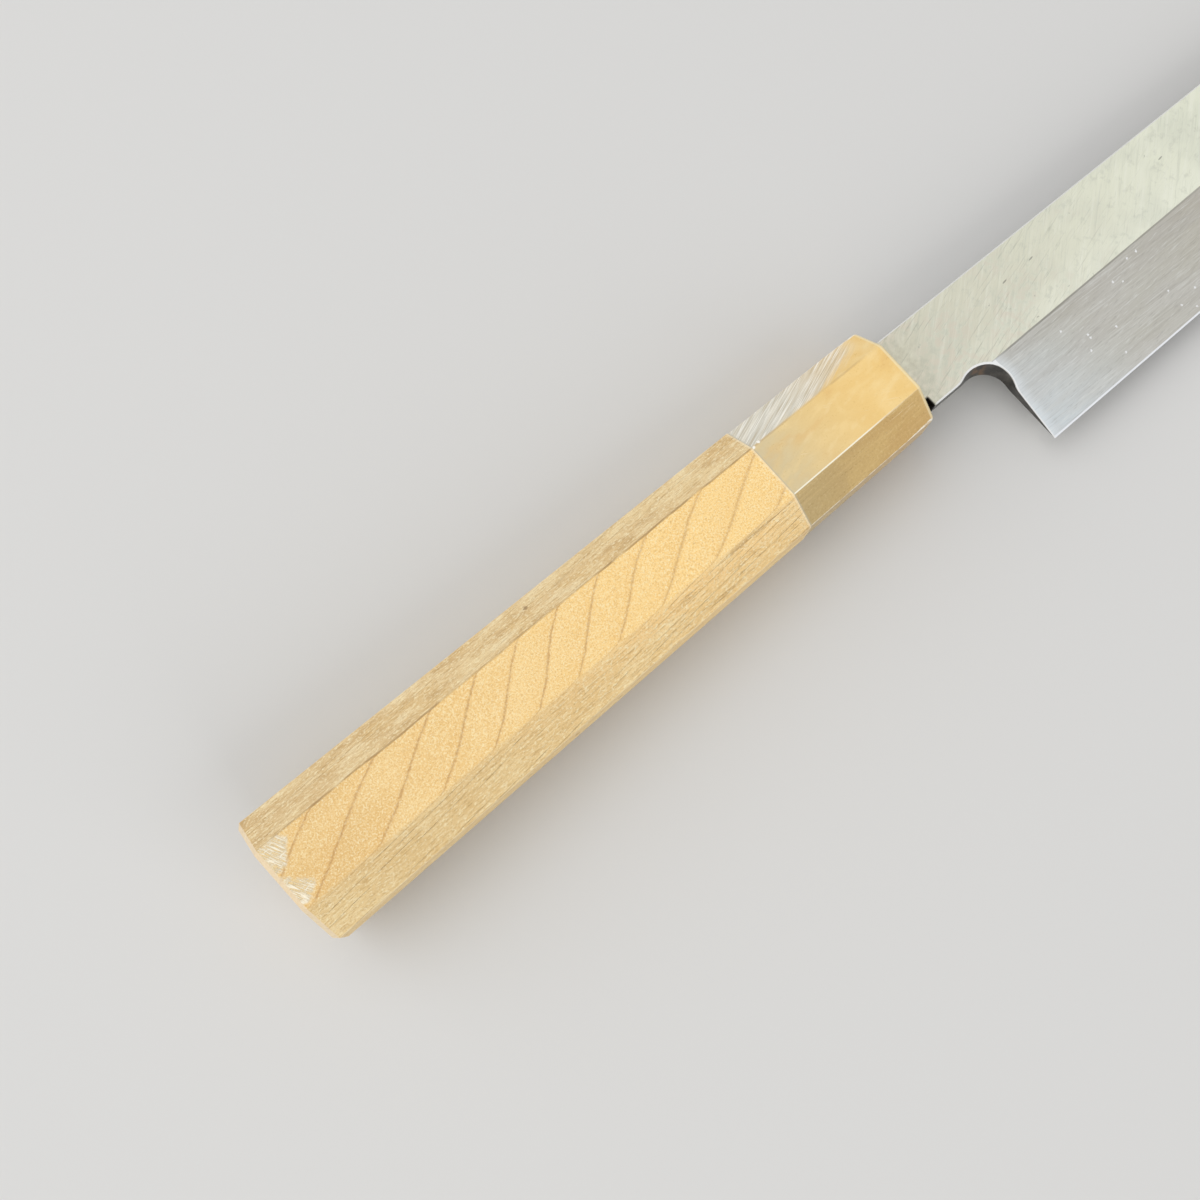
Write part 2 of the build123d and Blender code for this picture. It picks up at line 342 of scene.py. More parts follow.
def flat_finish(g):
    """Flat between shinogi and spine: rubbed satin, slanting streaks, smudges, and painted shade with a warm
    painted reflection of the horn towards the ferrule. Colour, roughness, height.
    """
    streak = g.noise(g.stretched(13.0, 0.9, turn=FLAT_SLANT), detail=3, roughness=0.6)
    fine = g.noise(g.stretched(4.5, 0.28, turn=FLAT_SLANT), detail=3, roughness=0.65)
    cross = g.noise(g.stretched(7.0, 0.3, turn=FLAT_CROSS_SLANT), detail=3, roughness=0.6)
    mottle = g.noise(g.place, scale=0.55, detail=4, roughness=0.6)
    cloud = g.noise(g.place, scale=0.11, detail=3)
    # Painted shade: the flat gets darker towards the ferrule.
    near_ferrule = g.step(g.x, 75.0, 5.0)
    color = g.mix(near_ferrule, linear(242, 243, 221), linear(226, 223, 201))
    color = g.tint(color, g.less(g.y, SHINOGI_Y), 8.0, 0.5, 0.45, linear(250, 251, 232))
    color = g.tint(color, cloud, 0.4, 0.65, 0.4, linear(220, 222, 204))
    color = g.tint(color, streak, 0.5, 0.7, 0.3, linear(252, 252, 236))
    color = g.tint(color, streak, 0.45, 0.28, 0.3, linear(206, 208, 190))
    color = g.tint(color, mottle, 0.47, 0.3, 0.35, linear(204, 205, 187))
    color = g.tint(color, fine, 0.52, 0.72, 0.25, linear(254, 254, 242))
    color = g.tint(color, fine, 0.44, 0.26, 0.3, linear(190, 191, 174))
    crossed = g.times(g.step(cross, 0.44, 0.28), g.line(near_ferrule, 0.1, 0.45))
    color = g.mix(crossed, color, linear(176, 176, 156))
    # Painted reflection of the horn: warm clouds on the flat near the ferrule.
    horn_reflection = g.times(near_ferrule, g.step(cloud, 0.4, 0.62), g.step(mottle, 0.42, 0.62))
    color = g.mix(g.times(horn_reflection, 0.4), color, linear(230, 214, 194))
    smudge = g.times(g.step(g.x, 12.0, 2.0), g.step(mottle, 0.7, 0.35))
    color = g.mix(g.times(smudge, 0.55), color, linear(190, 183, 160))
    roughness = g.blend(fine, 0.34, 0.46)
    height = g.add_up(g.times(streak, 0.4), g.times(fine, 0.6))
    return color, roughness, height


def bevel_finish(g, below):
    """Bevel: fine scratches along the blade, and a painted reflection, cool and pale at the heel, darker and
    browner further out. Colour, roughness, height.
    """
    scratch = g.noise(g.stretched(13.0, 0.3, turn=BEVEL_SCRATCH_SLANT), detail=4, roughness=0.65)
    short = g.noise(g.stretched(2.6, 0.3, turn=BEVEL_SHORT_SLANT), detail=3, roughness=0.65)
    wide = g.noise(g.stretched(30.0, 1.8), detail=3)
    cloud = g.noise(g.stretched(16.0, 7.0), detail=3)
    # Painted reflection: bluish-white at the heel, turning grey and then brown further along the blade.
    from_heel = g.add_up(g.line(g.x, -16.0, 1.0), g.times(below, -0.7))
    color = g.mix(g.step(from_heel, -14.0, 20.0), linear(220, 227, 228), linear(202, 199, 187))
    color = g.mix(g.step(from_heel, 24.0, 80.0), color, linear(194, 187, 169))
    color = g.tint(color, below, 5.0, 0.3, 0.4, linear(180, 174, 160))
    color = g.tint(color, cloud, 0.42, 0.65, 0.35, linear(204, 200, 193))
    color = g.tint(color, wide, 0.5, 0.7, 0.3, linear(218, 216, 208))
    color = g.tint(color, wide, 0.45, 0.28, 0.3, linear(178, 174, 163))
    color = g.tint(color, scratch, 0.52, 0.68, 0.3, linear(240, 241, 236))
    color = g.tint(color, scratch, 0.46, 0.3, 0.3, linear(152, 150, 141))
    color = g.tint(color, short, 0.54, 0.72, 0.35, linear(240, 241, 236))
    color = g.tint(color, short, 0.44, 0.28, 0.35, linear(154, 151, 143))
    roughness = g.blend(scratch, 0.28, 0.42)
    height = g.add_up(g.times(scratch, 0.6), g.times(short, 0.4))
    return color, roughness, height


def back_finish(g, rise):
    """Back: hollow with marks of the wheel across it, rims rubbed along. Colour, roughness, height."""
    wheel = g.noise(g.stretched(0.4, 12.0, turn=WHEEL_SLANT), detail=4, roughness=0.65)
    wide_wheel = g.noise(g.stretched(2.5, 30.0, turn=WHEEL_SLANT), detail=3)
    rubbed = g.noise(g.stretched(50.0, 0.35), detail=3)
    hollow = g.step(rise, 0.01, 0.06)
    hollow_color = g.mix(g.step(wheel, 0.3, 0.7), linear(158, 159, 157), linear(202, 203, 200))
    hollow_color = g.tint(hollow_color, wide_wheel, 0.45, 0.7, 0.4, linear(214, 214, 210))
    rim_color = g.mix(g.step(rubbed, 0.3, 0.7), linear(198, 199, 197), linear(228, 229, 227))
    color = g.mix(hollow, rim_color, hollow_color)
    roughness = g.blend(hollow, 0.24, 0.36)
    height = g.blend(hollow, rubbed, wheel)
    return color, roughness, height


def wall_finish(g):
    """Narrow walls: spine, neck and choil, with painted shade inside the choil. Colour, roughness, height."""
    marks = g.noise(g.stretched(8.0, 0.4), detail=3)
    blotch = g.noise(g.place, scale=0.5, detail=3)
    color = g.mix(g.step(marks, 0.3, 0.7), linear(168, 168, 162), linear(208, 208, 201))
    # Painted shade: the walls inside the choil are near black, with real rust mixed in at one place.
    inside_choil = g.times(g.step(g.y, 2.0, -2.0), g.step(g.x, 18.5, 17.5))
    choil_shade_and_rust_color = g.mix(g.step(blotch, 0.45, 0.65), linear(66, 64, 62), linear(92, 88, 84))
    rust = g.times(g.hump(g.x, RUST_X, 0.6, 1.2), g.step(blotch, 0.38, 0.55))
    choil_shade_and_rust_color = g.mix(g.times(rust, 0.7), choil_shade_and_rust_color, linear(146, 110, 76))
    color = g.mix(g.times(inside_choil, 0.9), color, choil_shade_and_rust_color)
    roughness = 0.34
    return color, roughness, marks


def choil_rim(g, below, rise, top):
    """Shares of a painted highlight along the sharp rim where the choil's wall meets the bevel, and of a
    wider painted glow on the bevel.
    """
    level = g.line(below, BEVEL_TOP, -BEVEL_FALL)
    from_middle = g.length(g.less(g.x, CHOIL_X), g.less(g.y, CHOIL_Y))
    from_cut = g.less(from_middle, g.line(level, CHOIL_RADIUS, CHOIL_FLARE))
    away = g.math("SMOOTH_MIN", from_cut, g.less(g.x, HEEL_X), 1.0)
    beside_choil = g.times(g.step(below, 0.0, 0.3), g.step(g.x, 24.0, 22.0))
    on_bevel = g.times(top, g.step(away, 0.3, 0.12))
    on_wall = g.times(g.less(1.0, top), g.step(g.less(level, rise), 0.28, 0.12))
    rim = g.times(beside_choil, g.math("MAXIMUM", on_bevel, on_wall))
    glow = g.times(beside_choil, top, g.step(away, 2.6, 0.0))
    return rim, glow


def steel_rims(g, color, roughness, top, rise, below):
    """Adds the dark line below the shinogi and painted highlights on the edges. Colour, roughness."""
    # Thin dark line that the whetstone leaves below the shinogi, and the polished strip at the edge, painted
    # as a bright highlight
    ragged = g.sway(6.0, 1.0, 0.08)
    line = g.times(top, g.hump(g.add_up(below, ragged), 0.14, 0.1, 0.16), g.step(g.x, 16.0, 22.0))
    color = g.mix(g.times(line, g.step(g.x, 90.0, 30.0, 0.25, 0.5)), color, linear(120, 117, 104))
    # Painted highlight along the micro-bevel at the cutting edge.
    edge_highlight = g.times(top, g.step(rise, MICRO_BEVEL_HEIGHT - 0.02, MICRO_BEVEL_HEIGHT - 0.08))
    color = g.mix(g.times(edge_highlight, 0.9), color, linear(252, 254, 255))
    roughness = g.blend(edge_highlight, roughness, 0.2)

    # Painted highlight on the chamfers of neck, choil and spine, which makes them brighter than what they
    # border
    chamfer_highlight = g.times(g.hump(g.nz, 0.72, 0.1, 0.1), g.step(g.z, 0.5, 1.0), g.step(g.x, 2.6, 3.4))
    color = g.mix(g.times(chamfer_highlight, 0.9), color, linear(255, 255, 252))
    roughness = g.blend(chamfer_highlight, roughness, 0.3)

    # The heel's rim has no chamfer, but the same painted highlight line, and a painted glow beside it
    rim, glow = choil_rim(g, below, rise, top)
    color = g.mix(g.times(glow, 0.4), color, linear(246, 252, 254))
    color = g.mix(g.times(rim, 0.9), color, linear(255, 255, 252))
    return color, roughness


def steel_marks(g, color, height, top, bevel):
    """Adds short slanting scars on the flat and nicks on the bevel, painted as bright glints. Colour, height.
    """
    crooked = g.add("ShaderNodeMapping", {"vector_type": "TEXTURE"}, Vector=g.shaken(0.5))
    crooked.inputs["Rotation"].default_value = (0.0, 0.0, SMALL_SCAR_SLANT)
    crooked.inputs["Scale"].default_value = (1.9, 0.5, 1.0)
    flat = g.times(top, g.less(1.0, bevel))
    small_scars = g.dots(crooked.outputs[0], 0.5, 0.02, 0.12, 0.12)
    scars = g.times(flat, g.math("MAXIMUM", small_scars, g.strokes(SCARS, 0.7, 0.18, SCAR_SLANT)))
    color = g.mix(g.times(scars, 0.55), color, linear(112, 110, 98))
    height = g.add_up(height, g.times(scars, -2.0))
    # Painted glints: bright spots at the nicks on the bevel.
    nick_glints = g.times(bevel, g.spots(NICKS, 0.3, g.shaken(0.28, 3.4)))
    color = g.mix(g.times(nick_glints, 0.9), color, linear(250, 250, 248))
    return color, height


def steel():
    """The blade's steel, with the finish of each of its surfaces."""
    g = Graph("steel")
    top = g.step(g.nz, 0.3, 0.6)
    under = g.step(g.nz, -0.3, -0.6)
    rise = g.less(g.z, BACK_LEVEL)
    below = below_shinogi(g)
    bevel = g.times(top, g.step(below, -0.03, 0.03))
    color, roughness, height = wall_finish(g)
    surfaces = ((top, flat_finish(g)), (bevel, bevel_finish(g, below)), (under, back_finish(g, rise)))
    for share, (other_color, other_roughness, other_height) in surfaces:
        color = g.mix(share, color, other_color)
        roughness = g.blend(share, roughness, other_roughness)
        height = g.blend(share, height, other_height)
    color, roughness = steel_rims(g, color, roughness, top, rise, below)
    color, height = steel_marks(g, color, height, top, bevel)

    # The machi's notch is painted near black, as shade in the gap at the ferrule
    notch_shade = g.times(g.step(g.y, -6.4, -7.0), g.step(g.x, 3.0, 2.5))
    color = g.mix(notch_shade, color, linear(26, 24, 22))
    roughness = g.blend(notch_shade, roughness, 0.7)
    return g.finish(color, roughness, height, STEEL_DEPTH, Metallic=1.0, Anisotropic=0.3)


def handle_share(g):
    """Share of the way from the butt to the ferrule's front."""
    return g.math("DIVIDE", g.less(g.x, BUTT), -BUTT)


def facet_border(g, step=0.0):
    """Half height of the facets that face up and down, less by a share of the step at the front."""
    half = g.line(handle_share(g), BUTT_HALF_HEIGHT, FRONT_HALF_HEIGHT - step - BUTT_HALF_HEIGHT)
    return g.times(half, FACET_SHARE)


def outer_arris(g):
    """Share of the rounded edges between the corner facets and the sides."""
    return g.hump(g.math("ABSOLUTE", g.ny), 0.87, 0.07, 0.05)


def horn_body(g, low, cloud, small_cloud, fiber, grit):
    """Honey clouds, greyer at the wood; the facets towards the edge painted darker as shade, with darker
    fibres.
    """
    forward = g.step(g.x, FERRULE_BACK, -6.0)
    color = g.mix(forward, linear(223, 198, 144), linear(239, 201, 126))
    color = g.tint(color, cloud, 0.45, 0.68, 0.4, linear(250, 222, 160))
    color = g.tint(color, cloud, 0.45, 0.28, 0.4, linear(222, 177, 106))
    color = g.tint(color, small_cloud, 0.5, 0.75, 0.25, linear(254, 234, 182))
    at_wood = g.times(g.step(g.x, -20.0, FERRULE_BACK, 0.0, 0.75), g.step(small_cloud, 0.2, 0.7))
    color = g.mix(at_wood, color, linear(206, 190, 152))

    # Painted shade: the facets towards the edge are darker, with real fibres in them.
    low_shade_and_fiber_color = g.mix(forward, linear(188, 162, 108), linear(200, 163, 98))
    low_shade_and_fiber_color = g.tint(low_shade_and_fiber_color, fiber, 0.5, 0.7, 0.3, linear(224, 194, 138))
    low_shade_and_fiber_color = g.tint(low_shade_and_fiber_color, fiber, 0.46, 0.26, 0.24, linear(166, 132, 78))
    low_shade_and_fiber_color = g.tint(low_shade_and_fiber_color, cloud, 0.45, 0.68, 0.4, linear(214, 182, 114))
    color = g.mix(low, color, low_shade_and_fiber_color)
    grain = g.blend(low, 0.1, 0.36)
    color = g.mix(g.times(g.step(grit, 0.52, 0.72), grain, 0.6), color, linear(246, 226, 176))
    return g.mix(g.times(g.step(grit, 0.46, 0.3), grain), color, linear(168, 136, 82))


def horn_frost(g, color, past_spine):
    """Adds the frosted facet on the spine side, sanded, with a painted silvery sheen that grows towards the
    wood. Colour, share of the frost, its fine scratches.
    """
    rubbed = g.noise(g.stretched(7.0, 0.16, up=20.0, turn=FROST_FINE_SLANT), detail=3, roughness=0.6)
    coarse = g.noise(g.stretched(9.0, 0.8, up=20.0, turn=FROST_COARSE_SLANT), detail=2, roughness=0.5)
    # Painted sheen: the frost turns silvery towards the wood.
    silvery_sheen = g.step(g.x, -3.0, -22.0, 0.15, 1.0)
    border = g.add_up(g.line(g.x, 8.6, 0.17), g.line(coarse, -2.2, 4.4))
    on_corner = g.times(g.step(past_spine, 0.0, 0.5), g.step(g.nz, 0.15, 0.4))
    frost = g.times(on_corner, g.step(g.less(g.y, border), -1.2, 1.2), g.step(g.x, -1.0, -6.0))
    frost_color = g.mix(silvery_sheen, linear(232, 206, 160), linear(214, 211, 198))
    frost_color = g.tint(frost_color, coarse, 0.46, 0.66, 0.45, linear(240, 232, 212))
    frost_color = g.tint(frost_color, coarse, 0.46, 0.3, 0.3, linear(196, 182, 152))
    frost_color = g.tint(frost_color, rubbed, 0.5, 0.66, 0.85, linear(255, 252, 242))
    frost_color = g.tint(frost_color, rubbed, 0.47, 0.32, 0.6, linear(178, 160, 126))
    return g.mix(g.times(frost, 0.92), color, frost_color), frost, rubbed


def horn_arrises(g, color, past_spine, past_edge, upper, cloud, small_cloud):
    """Adds the brown line and a painted highlight line where the upper facet ends, and scratches beside the
    highlight.
    """
    brown = g.hump(past_spine, 0.1, 0.1, 0.25)
    brown = g.times(brown, g.step(cloud, 0.4, 0.6), g.step(g.x, -3.0, -8.0), upper)
    color = g.mix(g.times(brown, 0.35), color, linear(176, 142, 92))
    # Painted highlight along the arris at the edge side of the upper facet.
    upper_arris_highlight = g.times(g.hump(past_edge, 0.0, 0.07, 0.1), g.step(g.x, -4.0, -14.0, 0.1, 0.9), upper)
    color = g.mix(g.times(upper_arris_highlight, g.step(small_cloud, 0.2, 0.5, 0.7, 1.0)), color, linear(255, 250, 228))
    beside = g.noise(g.stretched(16.0, 0.16))
    beside = g.times(g.step(beside, 0.62, 0.72), g.hump(past_edge, -1.0, 0.9, 0.8), g.step(g.x, -20.0, -8.0))
    return g.mix(g.times(beside, 0.6), color, linear(252, 242, 210))


def horn_wear(g, color, upper):
    """Adds painted highlights on the rounded front rim and along the outer arrises, a grey line and specks at
    the wood, rare scratches.
    """
    # Painted highlight on the ferrule's rounded front rim.
    rim = g.math("MAXIMUM", g.step(g.nx, 0.1, 0.5), g.step(g.x, -1.0, -0.6))
    color = g.mix(g.times(rim, 0.6), color, linear(254, 240, 196))
    # Painted highlight along the outer arrises, broken by noise.
    outer_arris_highlight = g.noise(g.stretched(1.6, 0.6), detail=3, roughness=0.7)
    outer_arris_highlight = g.times(outer_arris(g), g.step(outer_arris_highlight, 0.4, 0.58, 0.25, 1.0))
    color = g.mix(outer_arris_highlight, color, linear(254, 248, 230))
    joint = g.step(g.x, FERRULE_BACK + 0.5, FERRULE_BACK + 0.1)
    color = g.mix(g.times(joint, 0.55), color, linear(196, 192, 172))
    specks = g.spots(HORN_SPECKS, 0.4, g.shaken(0.3, 3.0))
    color = g.mix(g.times(specks, upper), color, linear(254, 250, 238))
    scratches = g.noise(g.stretched(6.0, 0.12, turn=HORN_SCRATCH_SLANT), detail=2, roughness=0.6)
    rare = g.step(g.noise(g.stretched(9.0, 6.0), scale=1.3), 0.5, 0.62)
    rare = g.times(g.step(scratches, 0.66, 0.74), rare)
    return g.mix(g.times(rare, 0.45), color, linear(254, 242, 212))


def horn():
    """Blonde horn, polished and finely scratched, with a frosted facet on the spine side."""
    g = Graph("horn")
    border = facet_border(g, HORN_STEP)
    past_spine = g.less(g.y, border)
    past_edge = g.add_up(g.y, border)
    upper = g.step(g.nz, -0.2, 0.2)
    low = g.step(past_edge, 0.12, -0.12)
    cloud = g.noise(g.stretched(9.0, 5.0), detail=3, roughness=0.55, distortion=0.6)
    small_cloud = g.noise(g.stretched(4.0, 1.6, turn=HORN_CLOUD_SLANT), detail=3)
    fiber = g.noise(g.stretched(18.0, 0.6), detail=3, roughness=0.6)
    grit = g.noise(g.place, scale=2.6, detail=3, roughness=0.65)
    color = horn_body(g, low, cloud, small_cloud, fiber, grit)
    color, frost, rubbed = horn_frost(g, color, past_spine)
    color = horn_arrises(g, color, past_spine, past_edge, upper, cloud, small_cloud)
    color = horn_wear(g, color, upper)
    marks = g.blend(frost, g.blend(0.4, g.blend(low, small_cloud, fiber), grit), rubbed)
    roughness = g.blend(frost, g.blend(marks, 0.22, 0.36), 0.55)
    height = g.add_up(marks, g.times(frost, rubbed))
    return g.finish(color, roughness, height, HORN_DEPTH, Coat_Weight=0.12, Coat_Roughness=0.2)


def growth(g, past_spine, past_edge, corner):
    """Growth sheets, which turn almost along the axis on the corner facets.

    The share of the way to the next sheet, and the distance to the nearest one in sheets' distances.
    """
    beyond_spine = g.math("SMOOTH_MAX", g.add_up(past_spine, 0.1), 0.0, 0.4)
    beyond_edge = g.math("SMOOTH_MAX", g.add_up(past_edge, 0.1), 0.0, 0.4)
    rounded_z = g.math("SQRT", g.line(g.times(g.z, g.z), 4.0, 1.0))
    half_thickness = g.line(handle_share(g), BUTT_HALF_THICKNESS, FRONT_HALF_THICKNESS - BUTT_HALF_THICKNESS)
    depth = g.less(rounded_z, half_thickness)
    side = g.math("MINIMUM", g.math("MAXIMUM", g.times(g.y, 0.33), -1.0), 1.0)
    wave = g.math("SINE", g.times(g.less(g.x, GROWTH_WAVE_START), GROWTH_WAVE_TURN))
    wander = g.sway(22.0, 7.0, 0.5)
    corner_wander = g.times(corner, g.sway(45.0, 2.4, 3.0))
    jitter = g.line(g.noise(g.place, scale=2.2), -0.5, 1.0)
    level = g.add_up(
        g.x,
        g.times(g.y, -GROWTH_LEAN),
        g.times(beyond_spine, -GROWTH_LEAN_CORNER),
        g.times(beyond_edge, GROWTH_LEAN_CORNER),
        g.times(depth, side, GROWTH_LEAN_SIDE),
        g.times(GROWTH_WAVE, wave),
        wander,
        corner_wander,
        jitter,
    )
    phase = g.math("FRACT", g.math("DIVIDE", g.less(level, GROWTH_START), GROWTH_STEP))
    away = g.less(0.5, g.math("ABSOLUTE", g.less(phase, 0.5)))
    return phase, away


def wood_face(g, phase, away, cloud, speckle, grit):
    """Facets that face up and down: speckled honey, darker to each growth line. Colour, lines, pores."""
    color = g.mix(g.step(g.x, -120.0, -45.0), linear(240, 202, 134), linear(254, 215, 140))
    color = g.tint(color, g.x, -108.0, -135.0, 0.6, linear(222, 181, 114))
    color = g.tint(color, cloud, 0.45, 0.65, 0.3, linear(254, 222, 158))
    color = g.tint(color, phase, 0.35, 1.0, 0.25, linear(238, 192, 118))
    color = g.tint(color, speckle, 0.5, 0.66, 0.62, linear(255, 238, 190))
    color = g.tint(color, speckle, 0.48, 0.32, 0.52, linear(216, 170, 104))
    color = g.tint(color, grit, 0.54, 0.68, 0.6, linear(255, 244, 208))
    color = g.tint(color, grit, 0.46, 0.32, 0.42, linear(208, 162, 98))
    pores = g.dots(g.place, 1.7, 0.04, 0.14, 0.25)
    color = g.mix(g.times(pores, 0.4), color, linear(176, 130, 76))
    broken = g.noise(g.stretched(1.1, 0.6), detail=3, roughness=0.7)
    ring = g.times(g.step(away, 0.045, 0.008), g.step(broken, 0.32, 0.58, 0.3, 1.0))
    color = g.tint(color, away, 0.11, 0.0, 0.16, linear(206, 158, 98))
    color = g.mix(g.times(ring, g.step(g.x, -50.0, -85.0, 0.32, 0.5)), color, linear(174, 124, 70))
    return color, ring, pores


def wood_corner(g, away, spine_corner, edge_corner, cloud, grit, fine_grain, glitter):
    """Corner facets and sides: paler, with fine lines along the axis. Colour, fine lines, growth lines."""
    grain = g.noise(g.stretched(24.0, 0.5), detail=4, roughness=0.65)
    outward = g.step(g.math("ABSOLUTE", g.y), 6.0, 10.5)
    edge_color = g.mix(g.step(g.x, -120.0, -45.0), linear(229, 196, 138), linear(251, 211, 144))
    edge_color = g.mix(g.times(outward, 0.5), edge_color, linear(230, 198, 138))
    spine_color = g.mix(g.step(g.x, BUTT, -100.0), linear(218, 186, 134), linear(229, 198, 145))
    spine_color = g.tint(spine_color, cloud, 0.5, 0.35, 0.5, linear(224, 188, 126))
    sheen = g.noise(g.stretched(7.0, 2.2), detail=3, roughness=0.6)
    spine_color = g.tint(spine_color, sheen, 0.5, 0.66, 0.55, linear(252, 234, 190))
    spine_color = g.tint(spine_color, sheen, 0.48, 0.32, 0.6, linear(198, 162, 108))
    color = g.mix(spine_corner, edge_color, spine_color)
    color = g.tint(color, cloud, 0.45, 0.65, 0.35, linear(250, 226, 172))
    color = g.tint(color, fine_grain, 0.52, 0.68, 0.5, linear(255, 238, 192))
    color = g.tint(color, fine_grain, 0.47, 0.32, 0.6, linear(190, 152, 94))
    strong = g.step(g.noise(g.stretched(40.0, 2.6)), 0.4, 0.6)
    strong = g.times(strong, g.step(g.x, -100.0, -40.0, 0.12, 1.0))
    lines = g.times(g.step(grain, 0.46, 0.34), g.line(strong, 0.0, 0.85), edge_corner)
    color = g.mix(lines, color, linear(172, 130, 74))
    color = g.tint(color, glitter, 0.5, 0.68, 0.75, linear(253, 237, 194))
    color = g.tint(color, grit, 0.46, 0.32, 0.55, linear(196, 158, 98))
    band = g.step(g.noise(g.stretched(50.0, 1.5), detail=1), 0.46, 0.58, 0.1, 1.0)
    ring = g.times(g.step(away, 0.07, 0.02), g.step(grain, 0.36, 0.6, 0.3, 1.0), band)
    color = g.mix(g.times(ring, g.blend(edge_corner, 0.2, 0.6)), color, linear(150, 116, 70))
    return color, lines, ring


def wood_marks(g, color, spine_line):
    """Adds the brown line on the spine-side arris, the knot and the worn patches, whose pale scratches are
    partly painted highlights. Colour, hatched patches.
    """
    arris = g.hump(spine_line, 0.0, 0.1, 0.16)
    arris = g.times(arris, g.step(g.noise(g.stretched(7.0, 3.0)), 0.4, 0.58, 0.3, 0.9))
    color = g.mix(g.times(arris, 0.75), color, linear(150, 114, 68))
    knot = g.spots([KNOT], 0.55, g.shaken(0.4))
    color = g.mix(g.times(knot, 0.6), color, linear(132, 96, 58))
    ragged = g.line(g.noise(g.place, scale=1.1, detail=3), -0.6, 1.2)
    hatch = g.noise(g.stretched(2.6, 0.2, turn=HATCH_SLANT), roughness=0.6)
    cross_hatch = g.noise(g.stretched(1.8, 0.2, turn=CROSS_HATCH_SLANT), roughness=0.6)
    hatched = g.math("MAXIMUM", g.step(hatch, 0.42, 0.6), g.step(cross_hatch, 0.48, 0.66))
    patches = g.math("MAXIMUM", g.inside(PATCH_SPINE, 0.35, ragged), g.inside(PATCH_EDGE, 0.35, ragged))
    patches = g.times(patches, g.step(g.nz, 0.8, 0.9))
    # Worn patches, with their scratches painted near white as highlights.
    patch_wear_and_sheen_color = g.mix(hatched, linear(238, 208, 150), linear(255, 246, 222))
    color = g.mix(g.times(patches, 0.9), color, patch_wear_and_sheen_color)
    return color, g.times(patches, hatched)


def wood_ends(g, color):
    """Adds the pale rim and end grain at the butt, a painted highlight along the outer arrises and the pale
    line at the horn.
    """
    rim = g.step(g.nx, -0.2, -0.6)
    color = g.mix(g.times(rim, 0.75), color, linear(238, 218, 186))
    end_grain = g.noise(g.stretched(1.0, 0.4), scale=3.0, detail=3, roughness=0.7)
    end_share = g.times(g.step(g.nx, -0.9, -0.98), g.step(end_grain, 0.55, 0.35))
    color = g.mix(g.times(end_share, 0.5), color, linear(180, 148, 102))
    # Painted highlight along the outer arrises.
    color = g.mix(g.times(outer_arris(g), 0.5), color, linear(238, 224, 194))
    at_horn = g.step(g.x, FERRULE_BACK - 0.5, FERRULE_BACK - 0.2)
    return g.mix(g.times(at_horn, 0.4), color, linear(252, 240, 210))


def wood():
    """Sanded magnolia: thin growth lines across the facets, and long fine grain on the corner facets."""
    g = Graph("wood")
    border = facet_border(g)
    wobble = g.sway(12.0, 6.0, 0.3)
    past_spine = g.less(g.y, border)
    past_edge = g.times(g.add_up(g.y, border), -1.0)
    spine_line = g.add_up(past_spine, wobble)
    spine_corner = g.step(spine_line, -0.15, 0.2)
    edge_corner = g.step(g.add_up(past_edge, wobble), -0.6, 0.9)
    corner = g.math("MAXIMUM", spine_corner, edge_corner)
    phase, away = growth(g, past_spine, past_edge, corner)
    cloud = g.noise(g.stretched(16.0, 7.0), detail=3)
    speckle = g.noise(g.place, scale=2.9, detail=3, roughness=0.65)
    grit = g.noise(g.place, scale=5.0, detail=2, roughness=0.6)
    fine_grain = g.noise(g.stretched(2.2, 0.3), detail=3, roughness=0.65)
    glitter = g.noise(g.stretched(0.6, 0.4), detail=3, roughness=0.65)
    face_color, ring, pores = wood_face(g, phase, away, cloud, speckle, grit)
    corner_color, lines, corner_ring = wood_corner(
        g, away, spine_corner, edge_corner, cloud, grit, fine_grain, glitter
    )
    color = g.mix(corner, face_color, corner_color)
    color, hatched_patches = wood_marks(g, color, spine_line)
    color = wood_ends(g, color)
    roughness = g.blend(grit, 0.46, 0.66)
    height = g.add_up(
        g.blend(corner, g.blend(0.5, speckle, grit), g.blend(0.5, fine_grain, glitter)),
        g.times(ring, -0.16),
        g.times(corner_ring, corner, -0.3),
        g.times(pores, -0.3),
        g.times(hatched_patches, 0.5),
        g.times(lines, corner, -0.5),
    )
    return g.finish(color, roughness, height, WOOD_DEPTH)


def dress(node, material):
    """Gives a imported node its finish."""
    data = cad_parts[node].data
    data.materials.clear()
    data.materials.append(material)


def build_floor():
    """Pale table top, level with the places on which the knife rests: the ferrule's front and the tip."""
    contact = FLOOR_CONTACT - FLOOR_UP * FLOOR_GAP
    low, high = -FLOOR_REACH, FLOOR_REACH
    data = bpy.data.meshes.new("floor")
    data.from_pydata([(low, low, 0), (high, low, 0), (high, high, 0), (low, high, 0)], [], [(0, 1, 2, 3)])
    floor = bpy.data.objects.new("floor", data)
    bpy.context.scene.collection.objects.link(floor)
    turn = FLOOR_UP.to_track_quat("Z", "Y").to_matrix().to_4x4()
    floor.matrix_world = Matrix.Translation(contact) @ turn
    material = bpy.data.materials.new("floor")
    material.use_nodes = True
    shader = material.node_tree.nodes["Principled BSDF"]
    shader.inputs["Base Color"].default_value = linear(214, 213, 210)
    shader.inputs["Roughness"].default_value = 0.9
    data.materials.append(material)


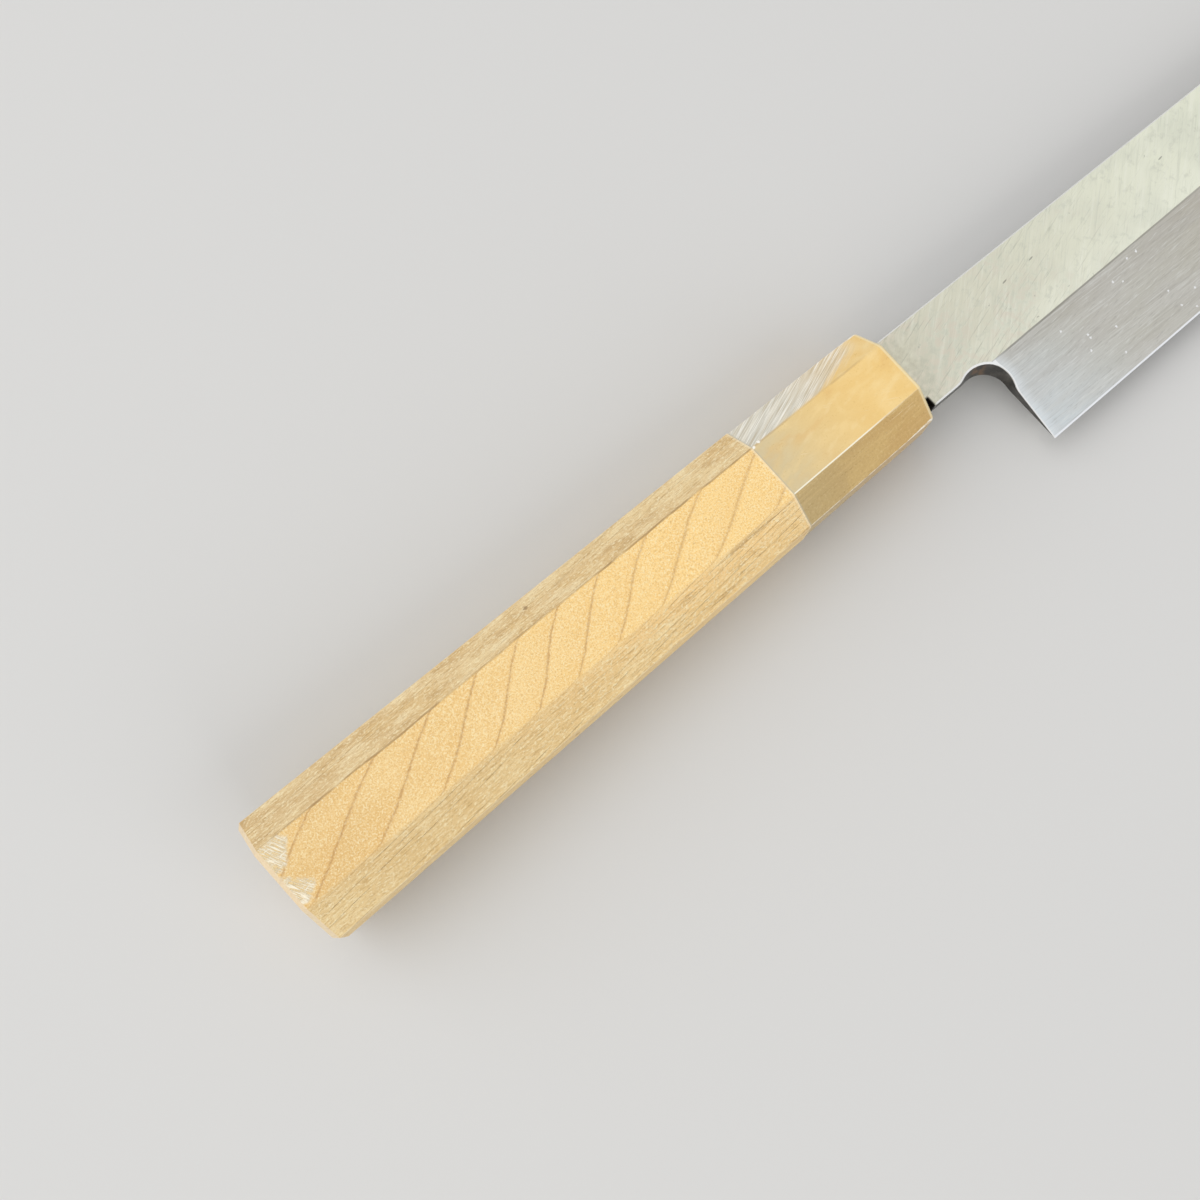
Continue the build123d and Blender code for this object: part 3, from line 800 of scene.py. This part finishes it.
def softbox(name, direction, distance, size, power):
    """Square area light that faces the handle. The steel mirrors the surroundings only, not the lamps."""
    data = bpy.data.lights.new(name, "AREA")
    data.shape = "SQUARE"
    data.size = size
    data.energy = power
    lamp = bpy.data.objects.new(name, data)
    lamp.visible_glossy = False
    bpy.context.scene.collection.objects.link(lamp)
    away = Vector(direction).normalized()
    lamp.location = LAMP_TARGET + away * distance
    lamp.rotation_euler = away.to_track_quat("Z", "Y").to_euler()


def build_world():
    """Pale surroundings, dimmer for the light that they cast than for what is seen in them."""
    world = bpy.data.worlds.new("studio")
    bpy.context.scene.world = world
    world.use_nodes = True
    nodes = world.node_tree.nodes
    links = world.node_tree.links
    path = nodes.new("ShaderNodeLightPath")
    seen = path.outputs["Is Camera Ray"]
    for kind in ("Is Glossy Ray", "Is Transmission Ray"):
        either = nodes.new("ShaderNodeMath")
        either.operation = "MAXIMUM"
        links.new(seen, either.inputs[0])
        links.new(path.outputs[kind], either.inputs[1])
        seen = either.outputs[0]
    strength = nodes.new("ShaderNodeMapRange")
    strength.inputs["To Min"].default_value = WORLD_LIGHT
    strength.inputs["To Max"].default_value = WORLD_SEEN
    links.new(seen, strength.inputs["Value"])
    background = nodes["Background"]
    background.inputs["Color"].default_value = WORLD_COLOR
    links.new(strength.outputs[0], background.inputs["Strength"])


def build_camera():
    """Camera of the photograph, solved from the handle's facets and the blade's edges."""
    data = bpy.data.cameras.new("camera")
    data.sensor_width = FILM_WIDTH
    data.lens = LENS
    data.clip_start = 0.01
    camera = bpy.data.objects.new("camera", data)
    bpy.context.scene.collection.objects.link(camera)
    spot = (CAMERA_PLACE - ORIGIN) / MM
    axes = Matrix((CAMERA_RIGHT, -CAMERA_DOWN, -CAMERA_AHEAD)).transposed().to_4x4()
    camera.matrix_world = Matrix.Translation(spot) @ axes
    bpy.context.scene.camera = camera


dress("blade", steel())
dress("ferrule", horn())
dress("handle", wood())
build_floor()
build_world()
softbox("key", direction=(-0.5, 0.45, 0.75), distance=1.4, size=2.0, power=16.0)
softbox("fill", direction=(0.1, -0.9, 0.6), distance=1.6, size=1.3, power=9.0)
build_camera()
bpy.context.scene.view_settings.view_transform = "Standard"
